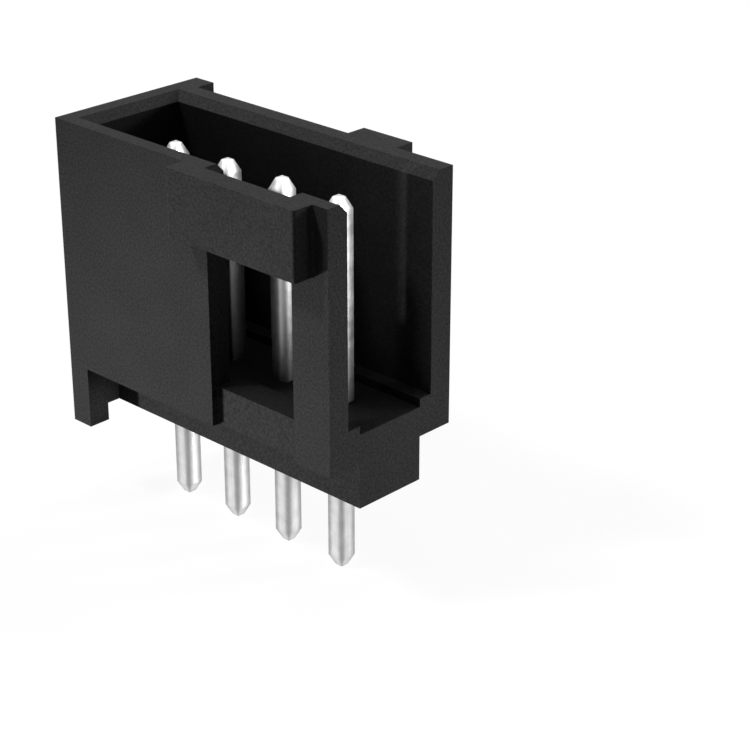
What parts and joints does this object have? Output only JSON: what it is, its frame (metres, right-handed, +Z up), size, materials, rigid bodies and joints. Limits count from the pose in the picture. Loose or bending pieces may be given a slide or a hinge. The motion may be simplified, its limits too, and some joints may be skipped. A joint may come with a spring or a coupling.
{
  "type": "pin header",
  "caption": "Shrouded in-line pin header: black moulded housing with a latch window, a bridge bar and a polarising rib, square tinned posts through its base, cut square at one end.",
  "frame": {"origin": "first contact's axis at the board's surface, which is the underside of the housing's feet", "axes": "+X along the row, away from the closed end; -Y towards the latch window; +Z up out of the board, the way the mating plug leaves"},
  "size_m": [0.0127, 0.0071, 0.0139],
  "materials": {
    "housing_plastic": "black glass-filled nylon with a fine moulded grain",
    "tin_plate": "bright tin plate over a copper-alloy wire"
  },
  "bodies": {
    "root": {"housing": "housing_plastic", "contact_pin_1": "tin_plate", "contact_pin_2": "tin_plate", "contact_pin_3": "tin_plate", "contact_pin_4": "tin_plate"}
  },
  "joints": []
}
